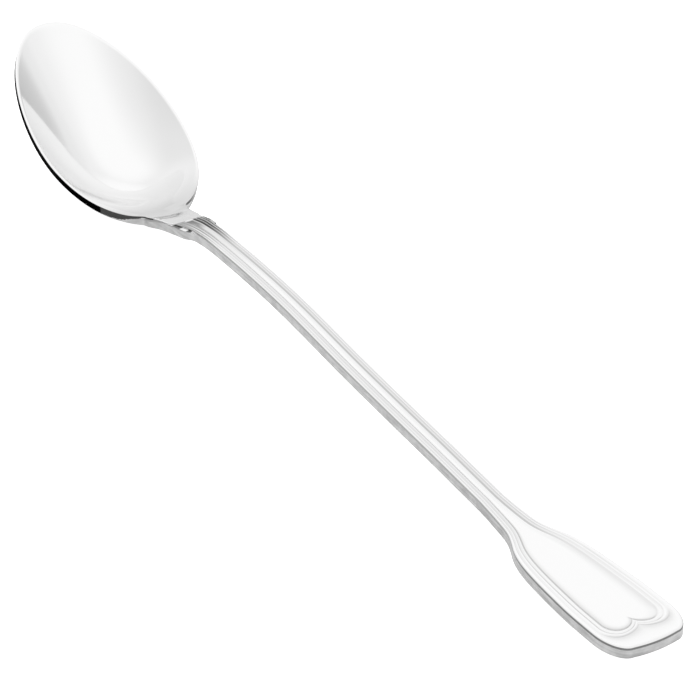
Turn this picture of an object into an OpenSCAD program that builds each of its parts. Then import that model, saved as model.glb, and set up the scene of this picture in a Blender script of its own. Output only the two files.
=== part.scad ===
// Iced tea spoon of the fiddle thread kind: one coined steel blank, drawn as its four named zones,
// which meet face to face. X runs from the bowl's tip to the handle's end, Y across, Z up from the table.

/* [Whole spoon] */
// Length from the bowl's tip to the handle's end
length = 193; // [180:1:210]
// Height of the rim at the bowl's tip above the rim at the neck
tip_rise = 18.5; // [12:0.1:22]
// Height of the rim at the neck above the lowest point of the bowl's inside
waist_height = 3.1; // [2:0.1:6]
// Height of the stem's arch above the same level
arch_height = 7.2; // [5:0.1:10]
// Height of the top of the handle's end above the same level
end_height = 2.3; // [0.8:0.1:4]

/* [Bowl] */
// Length of the bowl along the spoon
bowl_length = 46; // [40:0.5:54]
// Width of the bowl
bowl_width = 27.8; // [24:0.2:34]
// Depth of the bowl under its rim
bowl_depth = 7.5; // [5:0.25:10]
// Thickness of the steel at the bottom of the bowl
bowl_wall = 1.1; // [0.8:0.1:1.8]
// Thickness of the rim at its edge
rim_thickness = 1.1; // [0.8:0.1:1.6]
// Width of the flat land on the rim
rim_land = 0.3; // [0.2:0.05:1]

/* [Neck] */
// Length of the neck, from the bowl to the stem
neck_length = 20; // [16:0.5:26]
// Width of the neck across its two lugs
neck_width = 6.6; // [5.6:0.1:8]
// Thickness of the neck at its edge
neck_thickness = 1.9; // [1.6:0.1:2.6]
// Depth of the lugs' upper face under the pattern beside it
lug_drop = 0.4; // [0.3:0.05:0.8]
// How far the neck's back stands out in the middle
neck_crown = 0.9; // [0.3:0.1:1.4]

/* [Stem] */
// Width of the stem
stem_width = 4.4; // [3.8:0.1:6]
// Thickness of the stem at its edge
stem_thickness = 2; // [1.6:0.1:2.6]
// How far the back of the stem and the end stands out in the middle
stem_crown = 0.25; // [0.1:0.05:0.6]

/* [Handle end] */
// Length of the widened end, with its shoulders
end_length = 43; // [36:0.5:50]
// Width of the end
end_width = 14.2; // [12:0.2:18]
// Thickness of the end at its edge
end_thickness = 2.3; // [1.8:0.1:3]
// Rise of the end's shallow arch between its corners
end_arch = 0.4; // [0.2:0.1:1]
// How far in across the end its corners start to round
end_corner = 3.2; // [2:0.2:5]
// How far along the end its corners are rounded
corner_reach = 6; // [3:0.25:7]

/* [Thread pattern] */
// Width of the flat land outside the thread, on the stem
stem_land = 0.5; // [0.3:0.05:0.7]
// Width of the flat land outside the thread, on the end
end_land = 1; // [0.6:0.1:1.4]
// Width of the thread on the stem
stem_thread = 0.65; // [0.4:0.05:0.7]
// Width of the thread on the end
end_thread = 0.9; // [0.6:0.1:1.2]
// Width of the panel's sloping wall on the stem
stem_slope = 0.45; // [0.2:0.05:0.5]
// Width of the panel's sloping wall on the end
end_slope = 1.3; // [0.6:0.1:1.6]
// Height of the thread's crest over the land
thread_height = 0.12; // [0.05:0.01:0.25]
// Depth of the groove on each side of the thread
groove_depth = 0.1; // [0.05:0.01:0.2]
// Depth of the panel on the stem
stem_relief = 0.3; // [0.1:0.05:0.5]
// Depth of the panel on the end
end_relief = 0.35; // [0.2:0.05:0.8]
// Flat metal left between the pattern's double arch and the end
arch_margin = 3.6; // [2.4:0.1:5]
// Depth of the cusp between the two arches
cusp_depth = 1.3; // [0.8:0.1:2]
// How far along the end each arch's shoulder is rounded
lobe_reach = 3.4; // [2:0.2:4]
// Rounding of the stamped edges
edge_round = 0.2; // [0.1:0.05:0.3]

/* [Hidden] */
steel = "#d4d6d8";

// Where the zones meet
bowl_end_share = 0.957;
x_waist = bowl_end_share * bowl_length;
x_stem = bowl_length + neck_length;
x_end = length - end_length;
x_cap = length - end_arch - corner_reach;
arch_half = end_width / 2 - end_land;

// The rim's fall from the tip to the neck: shares of the bowl's length and of tip_rise
rim_shares = [[0, 1], [0.33, 0.61], [0.65, 0.25], [0.957, 0]];
// The neck's climb: shares of neck_length and of the climb from the waist to the arch
neck_shares = [[0.05, 0.08], [0.14, 0.21], [0.22, 0.31], [0.32, 0.43], [0.42, 0.56], [0.55, 0.74],
    [0.67, 0.85], [0.8, 0.93], [0.93, 0.98]];
// The handle's fall: shares of what is left of the length and of the fall from the arch to the end
handle_shares = [[0.08, 1], [0.19, 0.9], [0.35, 0.54], [0.54, 0.21], [0.74, -0.11], [1, 0]];
// The neck's outline: shares of neck_length and of what the lugs add to the stem
lug_shares = [[-0.3, 2.4], [0, 1.82], [0.1, 1.4], [0.2, 1.18], [0.3, 1.05], [0.4, 1], [0.5, 1], [0.58, 0.95],
    [0.63, 0.77], [0.66, 0.54], [0.69, 0.29], [0.72, 0.18], [0.8, 0.12], [0.9, 0.06], [1, 0]];
// The pattern's outline between the lugs, in the same shares
plate_shares = [[0.3, 1.1], [0.35, 0.74], [0.4, 0.59], [0.47, 0.54], [0.55, 0.45], [0.62, 0.32], [0.7, 0.17],
    [0.8, 0.11], [0.9, 0.05], [1, 0]];
// The end's outline: shares of end_length and of what the end adds to the stem
shoulder_shares = [[0, 0], [0.07, 0.04], [0.163, 0.12], [0.21, 0.2], [0.256, 0.36], [0.3, 0.54],
                   [0.35, 0.68], [0.41, 0.78], [0.5, 0.87], [0.6, 0.94], [0.72, 1], [1, 1]];

// The bowl's outline is an egg: how far its widest part lies towards the handle
egg_share = 0.08;
// Fullness of the bowl's section, 2 being a plain parabola
bowl_power = 2.4;
// Sharpness of the corner between the bowl and the neck
waist_power = 6;

// Contours of the bowl's inside, then of its back, as shares of the way from the middle to the rim
inside_shares = [0.1, 0.26, 0.42, 0.56, 0.68, 0.79, 0.88, 0.95, 1];
back_shares = [0.93, 0.75, 0.55, 0.33, 0.1];
// Points across the panel, its slope, the thread and the handle's back, as shares of each
panel_shares = [0.3, 0.7, 1];
hollow_share = 0.15;
slope_shares = [[0.35, 0.7], [0.75, 0.15]];
crest_shares = [0.7, 0.3];
land_share = 0.25;
side_shares = [0.45, 0.7];
side_bulge = 0.03;
// Where the pattern starts on the neck, and how soon it is at its full height
pattern_share = 0.39;
x_pattern = bowl_length + pattern_share * neck_length;
pattern_start = 1.2;
// The lugs: their length, how deep they start, the slope of their upper face and how far they swell the neck
lug_length_share = 0.3;
lug_length = lug_length_share * neck_length;
lug_start_share = 0.5;
lug_top_share = 0.8;
lug_swell = 0.2;
crown_shares = [[0.75, 0.45], [0.5, 0.78], [0.28, 0.94], [0.06, 1]];
rim_round_share = 0.2;
// The double arch: where its crowns lie, how sharp its cusp is, and its depth on the panel's contours
lobe_share = 0.52;
cusp_turn = 62;
cusp_shares = [-0.1, 0.45, 0.8];
arched_last = 8;

tip_steps = 22;
waist_steps = 14;
waist_crowding = 1.3;
neck_steps = 34;
stem_steps = 28;
shoulder_steps = 26;
cap_steps = 16;
slope_step = length / 1000;

function mix(a, b, share) = a + (b - a) * share;
function clip(v) = max(0, min(1, v));
function smooth(v) = clip(v) * clip(v) * (3 - 2 * clip(v));

// A smooth curve through a table of [place, value]
function pace(table, i) =
    let (a = max(i - 1, 0), b = min(i + 1, len(table) - 1))
    (table[b][1] - table[a][1]) / (table[b][0] - table[a][0]);
function curve(table, x) =
    let (i = max([0, for (j = [0 : len(table) - 2]) if (x >= table[j][0]) j]),
         span = table[i + 1][0] - table[i][0],
         t = clip((x - table[i][0]) / span))
    table[i][1] * (2 * t ^ 3 - 3 * t ^ 2 + 1) + table[i + 1][1] * (3 * t ^ 2 - 2 * t ^ 3)
    + span * (pace(table, i) * (t ^ 3 - 2 * t ^ 2 + t) + pace(table, i + 1) * (t ^ 3 - t ^ 2));

// The line along the top edge, seen from the side
top_table = concat(
    [for (p = rim_shares) [p[0] * bowl_length, waist_height + p[1] * tip_rise]],
    [for (p = neck_shares) [bowl_length + p[0] * neck_length, mix(waist_height, arch_height, p[1])]],
    [for (p = handle_shares) [mix(x_stem, length, p[0]), mix(end_height, arch_height, p[1])]]);
function top(x) = curve(top_table, x);
function pitch(x) = atan((top(x + slope_step) - top(x - slope_step)) / (2 * slope_step));

// Half the width at each place
function egg_half(x) =
    let (turn = acos(clip(x / bowl_length) * -2 + 1))
    bowl_width / 2 * sin(turn) * (1 - egg_share * cos(turn));
lug_table = [for (p = lug_shares)
    [bowl_length + p[0] * neck_length, (stem_width + p[1] * (neck_width - stem_width)) / 2]];
plate_table = [for (p = plate_shares)
    [bowl_length + p[0] * neck_length, (stem_width + p[1] * (neck_width - stem_width)) / 2]];
shoulder_table = [for (p = shoulder_shares)
    [mix(x_end, length, p[0]), (stem_width + p[1] * (end_width - stem_width)) / 2]];
function handle_half(x) = x < x_stem ? curve(lug_table, x) : curve(shoulder_table, max(x, x_end));
function half(x) =
    x > x_stem ? handle_half(x)
    : x < lug_table[0][0] ? egg_half(x)
    : (egg_half(x) ^ waist_power + (smooth((x - lug_table[0][0]) / (bowl_length - lug_table[0][0]))
       * handle_half(x)) ^ waist_power) ^ (1 / waist_power);

// Half the width of the pattern, which is narrower than the spoon between the lugs
function plate_half(x) = x > x_stem ? half(x) : min(half(x), curve(plate_table, max(x, plate_table[0][0])));

// A point of a section, [across, up], set on the top line
function place(x, p) = [x - p[1] * sin(pitch(x)), p[0], top(x) + p[1] * cos(pitch(x))];

// Depth of the bowl at a share of the way from its middle to its rim
function sink(r) = 1 - r ^ bowl_power;
function bowl_reach(x, s) =
    let (along = (x - bowl_length / 2) / (bowl_length / 2))
    min(1, sqrt(along ^ 2 + s ^ 2 * max(0, 1 - along ^ 2)));
back_depth = bowl_depth + bowl_wall - rim_thickness;

// Half a section through the bowl, from the middle over the rim and back: [across, up]
function bowl_section(x) =
    let (w = half(x), inner = w - rim_land)
    concat(
        [for (s = inside_shares) [s * inner, -bowl_depth * sink(bowl_reach(x, s))]],
        [[w - rim_land / 2, 0], [w - rim_round_share * rim_land, 0], [w, -rim_round_share * rim_thickness]],
        [for (s = side_shares) [w + side_bulge, -s * rim_thickness]],
        [[w, -rim_thickness]],
        [for (s = back_shares) [s * w, -rim_thickness - back_depth * sink(bowl_reach(x, s))]]);

// Half a section through the handle, from the panel over the thread and the edge to the back
function widen(x) = curve([for (p = shoulder_shares) [mix(x_end, length, p[0]), p[1]]], max(x, x_end));
function lug(x) = smooth((x - x_pattern) / lug_length * 2) * smooth((x_pattern + lug_length - x) / lug_length * 2);
function thickness(x) = x < x_stem ? mix(neck_thickness, stem_thickness, smooth((x - bowl_length) / neck_length))
        + lug_swell * lug_drop * lug(x)
    : mix(stem_thickness, end_thickness, (x - x_stem) / (length - x_stem));
function crown(x) = mix(neck_crown, stem_crown, smooth((x - bowl_length) / neck_length));
function land(x) = mix(stem_land, end_land, widen(x));
function thread(x) = mix(stem_thread, end_thread, widen(x));
function slope(x) = mix(stem_slope, end_slope, widen(x));
function relief(x) = mix(stem_relief, end_relief, widen(x));

// How far in from the edge, and at what level, each line of the pattern lies
function pattern(x) =
    let (foot = land(x) + thread(x))
    concat(
        [for (p = slope_shares) [foot + slope(x) * (1 - p[0]), -relief(x) * p[1]]],
        [[foot, -groove_depth]],
        [for (s = crest_shares) [land(x) + s * thread(x), thread_height]],
        [[land(x), -groove_depth], [land(x) * (1 - land_share), 0], [edge_round, 0], [0, -edge_round]]);
function side_section(x, w) =
    let (drop = lug_drop * mix(lug_start_share, 1, smooth((x - x_pattern) / lug_length)))
    [[plate_half(x) + side_bulge, -drop * lug_top_share], [w + side_bulge, -drop]];
function back_section(x, w) =
    concat(
        [[w, edge_round - thickness(x)]],
        [[w - edge_round, -thickness(x)]],
        [for (p = crown_shares) [w * p[0], -thickness(x) - crown(x) * p[1]]]);
function handle_section(x) =
    let (w = half(x), plate = plate_half(x), floor_half = plate - land(x) - thread(x) - slope(x),
         risen = smooth((x - x_pattern) / pattern_start))
    concat(
        [for (s = panel_shares) [s * floor_half, -risen * relief(x) * (1 - hollow_share * s ^ 2)]],
        [for (p = pattern(x)) [plate - p[0], (p[0] > edge_round ? risen : 1) * p[1]]],
        side_section(x, w),
        back_section(x, w));

// The neck turns one section into the other, before the pattern starts between the lugs
function fade(x) = smooth((x - x_waist) / (x_pattern - x_waist));
function neck_section(x) =
    let (a = bowl_section(x), b = handle_section(x))
    [for (k = [0 : len(b) - 1]) mix(a[k], b[k], fade(x))];

function left(p) = [p[0], -p[1], p[2]];
function ring(x, section) = concat(
    [for (p = section) place(x, p)],
    [for (k = [len(section) - 1 : -1 : 0]) left(place(x, section[k]))]);

// The blank is centred along X, and its lowest point is set on the table
last_line = len(bowl_section(bowl_length / 2)) - 1;
all_points = [for (k = [0 : last_line]) each concat(bowl_contour(k), end_contour(k))];
centre = (min([for (p = all_points) p[0]]) + max([for (p = all_points) p[0]])) / 2;
lowest = min([for (p = all_points) p[2]]);
function set_down(points) = [for (p = points) [p[0] - centre, p[1], p[2] - lowest]];

// Stations along the spoon
function waist_x(i) = mix(bowl_length / 2, x_waist, 1 - (1 - i / waist_steps) ^ waist_crowding);
function neck_x(i) = mix(x_waist, x_stem, i / neck_steps);
function stem_x(i) = mix(x_stem, x_end, i / stem_steps);
function shoulder_x(i) = mix(x_end, x_cap, i / shoulder_steps);

// A solid through a row of rings, each a closed loop of as many points
module loft(rings) {
    n = len(rings[0]);
    m = len(rings);
    faces = concat(
        [for (j = [0 : m - 2], k = [0 : n - 1]) each
            [[j * n + k, (j + 1) * n + (k + 1) % n, (j + 1) * n + k],
             [j * n + k, j * n + (k + 1) % n, (j + 1) * n + (k + 1) % n]]],
        [[for (k = [0 : n - 1]) (m - 1) * n + k], [for (k = [n - 1 : -1 : 0]) k]]);
    polyhedron(set_down([for (r = rings) each r]), faces);
}

// A solid through contours that run out from one flat face, round an end and back to that face.
// The first contour lies innermost on the top, the last innermost on the back.
module wrap(contours, flip) {
    n = len(contours[0]);
    m = len(contours);
    strips = [for (k = [0 : m - 2], i = [0 : n - 2]) each
        [[k * n + i, k * n + i + 1, (k + 1) * n + i + 1],
         [k * n + i, (k + 1) * n + i + 1, (k + 1) * n + i]]];
    top_fill = [for (i = [0 : (n - 1) / 2 - 1]) each rung(0, n, i, false)];
    back_fill = [for (i = [0 : (n - 1) / 2 - 1]) each rung((m - 1) * n, n, i, true)];
    flat = [concat([for (k = [0 : m - 1]) k * n], [for (k = [m - 1 : -1 : 0]) k * n + n - 1])];
    faces = concat(strips, top_fill, back_fill, flat);
    polyhedron(set_down([for (c = contours) each c]), flip ? [for (f = faces) reverse(f)] : faces);
}
function reverse(f) = [for (i = [len(f) - 1 : -1 : 0]) f[i]];
// Two triangles between one side of a contour and the other, or the last one at its end
function rung(base, n, i, back) =
    let (a = base + i, b = base + i + 1, c = base + n - 2 - i, d = base + n - 1 - i,
         quad = b == c ? [[a, d, b]] : [[a, d, c], [a, c, b]])
    back ? [for (f = quad) reverse(f)] : quad;

// Contour k of the bowl: from the flat face at the neck, round the tip and back
function bowl_tip_point(k, turn) =
    let (mid = bowl_length / 2, w = bowl_width / 2 * (1 - egg_share * cos(turn)) * sin(turn),
         ends = bowl_section(mid), reach = k < len(inside_shares) ? inside_shares[k] : 1,
         back = k >= len(ends) - len(back_shares) ? back_shares[k - len(ends) + len(back_shares)] : 1,
         inset = k < len(inside_shares) ? rim_land
             : k == len(inside_shares) ? rim_land / 2
             : k == len(inside_shares) + 1 ? rim_round_share * rim_land : 0,
         share = reach * back,
         along = (mid - inset) * share * cos(turn),
         across = max(0, w - inset * sin(turn)) * share)
    place(mid - along, [across, ends[k][1] ]);
function bowl_contour(k) =
    let (side = [for (i = [waist_steps : -1 : 1]) place(waist_x(i), bowl_section(waist_x(i))[k])],
         tip = [for (i = [0 : tip_steps]) bowl_tip_point(k, 90 - 90 * i / tip_steps)],
         right_side = concat(side, tip))
    concat(right_side, [for (i = [len(right_side) - 2 : -1 : 0]) left(right_side[i])]);

module bowl() {
    color(steel) wrap([for (k = [0 : last_line]) bowl_contour(k)], false);
}

module neck() {
    color(steel) loft([for (i = [0 : neck_steps]) let (x = neck_x(i)) ring(x, neck_section(x))]);
}

module stem() {
    color(steel) loft([for (i = [0 : stem_steps]) let (x = stem_x(i)) ring(x, handle_section(x))]);
}

// Half of the round end of a contour, from its side to the middle: [along, across] from the side's end
function plain_cap(w, t) =
    let (share = w / (end_width / 2), corner = end_corner * share)
    t < 0.5
    ? [corner_reach * share * sin(180 * t), w - corner + corner * cos(180 * t)]
    : let (y = 2 * (1 - t)) [corner_reach * share + end_arch * (1 - y ^ 2), (w - corner) * y];

// Half of the double arch, round one lobe to its crown and back to the cusp in the middle
function double_cap(w, dip, t) =
    let (crown_at = w * lobe_share)
    t < 0.5
    ? [lobe_reach * w / arch_half * sin(180 * t), crown_at + (w - crown_at) * cos(180 * t)]
    : let (turn = cusp_turn * 2 * (t - 0.5))
      [lobe_reach * w / arch_half - dip * (1 - cos(turn)) / (1 - cos(cusp_turn)),
       crown_at * (1 - sin(turn) / sin(cusp_turn))];

// Contour k of the handle's end: along the side, round the cap and back
function end_contour(k) =
    let (flat = handle_section(x_cap)[k], w = flat[0], inset = end_width / 2 - w,
         arched = k <= arched_last,
         reach = arched ? lobe_reach * w / arch_half : corner_reach * w / (end_width / 2) + end_arch,
         crown_x = arched ? length - arch_margin - (inset - end_land) : length - inset,
         side_end = crown_x - reach,
         dip = (cusp_depth + max(0, inset - end_land)) * (k < len(cusp_shares) ? cusp_shares[k] : 1),
         side = [for (i = [0 : shoulder_steps - 1])
             let (x = mix(x_end, side_end, i / shoulder_steps)) place(x, handle_section(x)[k])],
         cap = [for (i = [0 : cap_steps])
             let (p = arched ? double_cap(w, dip, i / cap_steps) : plain_cap(w, i / cap_steps))
             place(side_end + p[0], [p[1], flat[1]])],
         right_side = concat(side, cap))
    concat(right_side, [for (i = [len(right_side) - 2 : -1 : 0]) left(right_side[i])]);

module handle_end() {
    color(steel) wrap([for (k = [0 : last_line]) end_contour(k)], true);
}

bowl();
neck();
stem();
handle_end();
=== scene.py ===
"""An iced tea spoon of the fiddle thread kind: one coined blank of polished stainless steel."""

import math

import bpy
from mathutils import Matrix, Vector


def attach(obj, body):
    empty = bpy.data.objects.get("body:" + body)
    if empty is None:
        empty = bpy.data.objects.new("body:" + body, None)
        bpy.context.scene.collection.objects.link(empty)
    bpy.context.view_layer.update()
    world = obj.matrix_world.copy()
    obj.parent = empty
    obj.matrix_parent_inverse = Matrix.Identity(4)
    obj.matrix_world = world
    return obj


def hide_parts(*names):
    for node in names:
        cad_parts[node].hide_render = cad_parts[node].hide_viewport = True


bl_info = {
    "name": "Iced Tea Spoon",
    "version": (1, 0, 0),
    "blender": (4, 5, 0),
    "location": "View3D > Sidebar > Spoon",
    "description": "Builds a coined and polished steel iced tea spoon and the studio that it lies in",
    "category": "Add Mesh",
}

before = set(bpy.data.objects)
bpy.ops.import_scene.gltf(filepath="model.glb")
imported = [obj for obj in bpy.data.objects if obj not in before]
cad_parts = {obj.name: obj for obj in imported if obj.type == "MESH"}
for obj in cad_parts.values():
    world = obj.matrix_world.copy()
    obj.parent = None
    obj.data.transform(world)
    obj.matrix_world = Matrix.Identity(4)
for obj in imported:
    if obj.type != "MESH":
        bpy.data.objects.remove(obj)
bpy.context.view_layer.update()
MM = 0.001

# Where the bowl's outline turns into the neck, as a share of the bowl's length
WAIST_SHARE = 0.957
# Where the pattern starts and how long a lug is, as shares of the neck's length
PATTERN_SHARE = 0.39
LUG_SHARE = 0.3

# Shares that give each long curve its form
RIM_SHARES = ((0, 1), (0.33, 0.61), (0.65, 0.25), (WAIST_SHARE, 0))
NECK_SHARES = (
    (0.05, 0.08), (0.14, 0.21), (0.22, 0.31), (0.32, 0.43), (0.42, 0.56), (0.55, 0.74), (0.67, 0.85),
    (0.8, 0.93), (0.93, 0.98),
)
HANDLE_SHARES = ((0.08, 1), (0.19, 0.9), (0.35, 0.54), (0.54, 0.21), (0.74, -0.11), (1, 0))
LUG_SHARES = (
    (-0.3, 2.4), (0, 1.82), (0.1, 1.4), (0.2, 1.18), (0.3, 1.05), (0.4, 1), (0.5, 1), (0.58, 0.95),
    (0.63, 0.77), (0.66, 0.54), (0.69, 0.29), (0.72, 0.18), (0.8, 0.12), (0.9, 0.06), (1, 0),
)
PLATE_SHARES = (
    (0.3, 1.1), (0.35, 0.74), (0.4, 0.59), (0.47, 0.54), (0.55, 0.45), (0.62, 0.32), (0.7, 0.17),
    (0.8, 0.11), (0.9, 0.05), (1, 0),
)
SHOULDER_SHARES = (
    (0, 0), (0.07, 0.04), (0.163, 0.12), (0.21, 0.2), (0.256, 0.36), (0.3, 0.54), (0.35, 0.68),
    (0.41, 0.78), (0.5, 0.87), (0.6, 0.94), (0.72, 1), (1, 1),
)

# Reach in mm over which each long curve is softened
BOWL_SOFTENING = 1.6
STEM_SOFTENING = 3
SIDE_SOFTENING = 0.6
PLATE_SOFTENING = 0.4
# Half the stretch in mm over which the line's slope is taken
SLOPE_STEP = 0.2

# The bowl's egg shape, and the power that rounds the corner between egg and neck
EGG_SHARE = 0.08
JOIN_POWER = 6
# Over one, the bowl's deepest place lies nearer to the neck than to the tip
DEEPEST_POWER = 1.15
# What is left of the bowl's depth at its tip, and where in mm from the tip it has it all
TIP_DEPTH_SHARE = 0.6
FULL_DEPTH = 32
# Where in mm from the tip the inside starts to roll over into the neck, over what length and how fully
SOFT_START = 32
SOFT_LENGTH = 9
SOFT_POWER = 1.6
# Where in mm from the tip the rim starts to thicken, and over what length
RIM_START = 33
RIM_LENGTH = 14
# How much thinner in mm than the neck the rim stays
RIM_STEP = 0.1
# The rim's rounding as a share of its land, and its edge's upper part as a share of its thickness
RIM_ROUND_SHARE = 0.2
DROP_SHARE = 0.35
# The hollow apron in mm: depth, start before the waist, fall, end before the pattern and climb
APRON_DEPTH = 0.4
APRON_LEAD = 0.5
APRON_FALL = 3
APRON_GAP = 1
APRON_CLIMB = 7

# A lug's shelf: how steeply and how late it spreads, and how much its wall is undercut
SHELF_SPREAD = 1.6
SHELF_DELAY = 0.3
SHELF_UNDERCUT = 0.1
# The height of the shelf's inner side, and its height at its start, as shares of its drop
SHELF_SHARE = 0.8
SHELF_START_SHARE = 0.5
# How much the lugs thicken the neck, as a share of their drop
LUG_SWELL = 0.2

# The first line beside the middle of the top, and the last on the back, as shares of half the width
INNERMOST = 0.04
BACK_REACH = 0.97
# Powers that crowd the bowl's lines towards its rim, and its sections towards the waist
INSIDE_CROWDING = 0.85
BACK_CROWDING = 1.1
WAIST_CROWDING = 1.3

# The length in mm over which the pattern starts
PATTERN_RISE = 1.2
# What is left of the threads' height on the end
END_FLATNESS = 0.45
# How much shallower the stem's panel is at its sides
FLOOR_HOLLOW = 0.15
# The outer thread's foot, as a share of the land
FOOT_SHARE = 0.25
# Under one, the threads are full; over one, the panel's wall stands steeper by the threads
BEAD_POWER = 0.9
STEM_WALL_POWER = 1.7
END_WALL_POWER = 2

# The crown of each lobe of the double arch, as a share of half its width, and the turn from crown to cusp
CROWN_SHARE = 0.52
CUSP_TURN = math.radians(62)
# How the cusp deepens over the threads, as a share of their width, and what is left of it on the panel
CUSP_GROWTH = 0.15
CUSP_ON_FLOOR = 0.8
# How deep in mm the cusp is at the panel's first line; below zero it stands out
INNERMOST_CUSP = -0.05

# Stretches of painted shade on the steel, in mm past the pattern's start: start, rise, end and fall
DARK_PATTERN = (0.2, 0.4, 16, 11)
DARK_FLOOR = (0.4, 0.4, 8, 6.5)
DARK_HOLLOW = (0, 1, 30, 26)
DARK_THREADS = (0, 0.5, 9, 8)
DARK_SHELF = (0, 0.4, 3.2, 0.6)
DARK_HOOK = (4.6, 0.4, 6, 0.4)
# How much painted shade darkens the steel at most, from 0 for bright to 1: the panel, its hollow and its
# fillet
FLOOR_SHADE = 0.8
HOLLOW_SHADE = 0.16
FILLET_SHADE = 0.06
# The threads all over, and the grooves inside, between and outside them past the pattern's start
THREADS_SHADE = 0.55
INNER_GROOVE_SHADE = 0.28
MIDDLE_GROOVE_SHADE = 0.14
OUTER_GROOVE_SHADE = 0.1
# The outer groove round the double arch, before the end's share is taken
ARCH_GROOVE_SHADE = 1.3
# What is left of the grooves' shade on the end
END_GROOVE_SHARE = 0.25
# The upper edge where the pattern starts and past it, and under it the shelf, the stem and the end
EDGE_SHADE = 0.75
PLAIN_EDGE_SHADE = 0.1
SHELF_SHADE = 0.9
STEM_SHADE = 0.55
END_SHADE = 0.8
# The bowl's rim by the neck, and the apron
RIM_SHADE = 0.95
APRON_SHADE = 0.14
# Lengths in mm over which the pattern's, the arch's and the stem's shades start
SHADE_ONSET = 0.4
ARCH_ONSET = 3
STEM_ONSET = 2
# The number of lines over which the panel's shade fades at its wall
FLOOR_FADE = 7
# How far past the bowl its own shades reach, in mm
BOWL_SHADE_REACH = 2
# The painted shade on the apron before the pattern, and a faint band of it at the roll across the apron, in
# mm from the tip
APRON_START = 34
APRON_LENGTH = 12
ROLL_PLACE = 44
ROLL_WIDTH = 3
# Where painted shade darkens the rim's edge, and where the trimmed edge turns satin, in mm from the tip
DARK_RIM_START = 29
DARK_RIM_LENGTH = 3
SATIN_START = 33
FULL_SATIN_START = 42
FULL_SATIN_LENGTH = 4

# Points along each stretch of a line from the bowl's tip to the handle's end
TIP_STEPS = 44
WAIST_STEPS = 34
NECK_STEPS = 130
STEM_STEPS = 60
SHOULDER_STEPS = 90
CAP_STEPS = 56

# Lines across half the spoon, from the middle of its top over the edge to the middle of its back
PANEL_LINES = 10
WALL_LINES = 8
THREAD_LINES = 16
FOOT_LINES = 4
LAND_LINES = 6
ROUND_LINES = 5
SHELF_LINES = 8
SIDE_LINES = 8
BACK_LINES = 16

# The number of the first line of each stretch but the panel
WALL_START = PANEL_LINES
THREAD_START = WALL_START + WALL_LINES
FOOT_START = THREAD_START + THREAD_LINES
LAND_START = FOOT_START + FOOT_LINES
ROUND_START = LAND_START + LAND_LINES
SHELF_START = ROUND_START + ROUND_LINES
SIDE_START = SHELF_START + SHELF_LINES

# The surround's light: (share of the way, share of its strength), upwards and across the spoon
UPWARD_LEVELS = ((0.1, 0.7), (0.2, 0.87), (0.28, 0.96), (0.4, 1))
ACROSS_LEVELS = ((0.05, 0.8), (0.2, 0.9), (0.45, 1), (0.85, 1), (0.92, 0.93), (0.965, 0.7))
# The soft boxes that the steel sees: direction, and the cosines at which each is full and gone
SEEN_BOXES = (((0, 0, 1), 0.93, 0.68), ((-0.68, 0.45, 0.57), 0.99, 0.9))
# The floor's own white, as seen in the steel and by the camera, and half its size in metres
FLOOR_IN_STEEL = 0.25
FLOOR_IN_CAMERA = 0.75
FLOOR_REACH = 4

# The soft boxes that light the floor and the spoon: place and size in metres, and power in watts
BACK_BOX = ((-0.72, 0.45, 0.52), (1.3, 0.7), 0.8)
TOP_BOX = ((0.1, -0.1, 0.9), (0.7, 0.7), 0.6)

# The black cards: their left, right, near and far sides in mm, and how high they lie
FRONT_FLAG = (-230, -57, -150, -8)
TIP_FLAG = (-230, -112, -8, 90)
FLAG_HEIGHT = 0.5
FLAG_COLOUR = "#101010"

# A point by the spoon's middle, and how far right and up of it the camera looks, in mm
AIM = (0.1, 0, -0.7)
SHIFT_RIGHT = 6.17
SHIFT_UP = 1.95
SENSOR_WIDTH = 36


def mix(a, b, share):
    return a + (b - a) * share


def clip(value):
    return max(0.0, min(1.0, value))


def smooth(value):
    share = clip(value)
    return share * share * (3 - 2 * share)


def between(x, start, rise, end, fall):
    """One within a stretch, with a soft rise from its start and a soft fall to its end."""
    return smooth((x - start) / rise) * smooth((end - x) / fall)


def swell(x, place, width):
    """A soft swell of height one at a place."""
    return math.exp(-((x - place) / width) ** 2)


def curve(table, x):
    """A smooth curve through a table of (place, value)."""
    last = len(table) - 1
    i = max([j for j in range(last) if x >= table[j][0]] or [0])

    def pace(j):
        a, b = max(j - 1, 0), min(j + 1, last)
        return (table[b][1] - table[a][1]) / (table[b][0] - table[a][0])

    span = table[i + 1][0] - table[i][0]
    t = clip((x - table[i][0]) / span)
    ends = table[i][1] * (2 * t**3 - 3 * t**2 + 1) + table[i + 1][1] * (3 * t**2 - 2 * t**3)
    return ends + span * (pace(i) * (t**3 - 2 * t**2 + t) + pace(i + 1) * (t**3 - t**2))


def softened(table, x, reach):
    """The curve's mean over a short stretch, which takes the kinks out of its reflections."""
    total = weights = 0.0
    for step in range(-4, 5):
        weight = 5 - abs(step)
        total += weight * curve(table, x + reach * step / 4)
        weights += weight
    return total / weights


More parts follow.
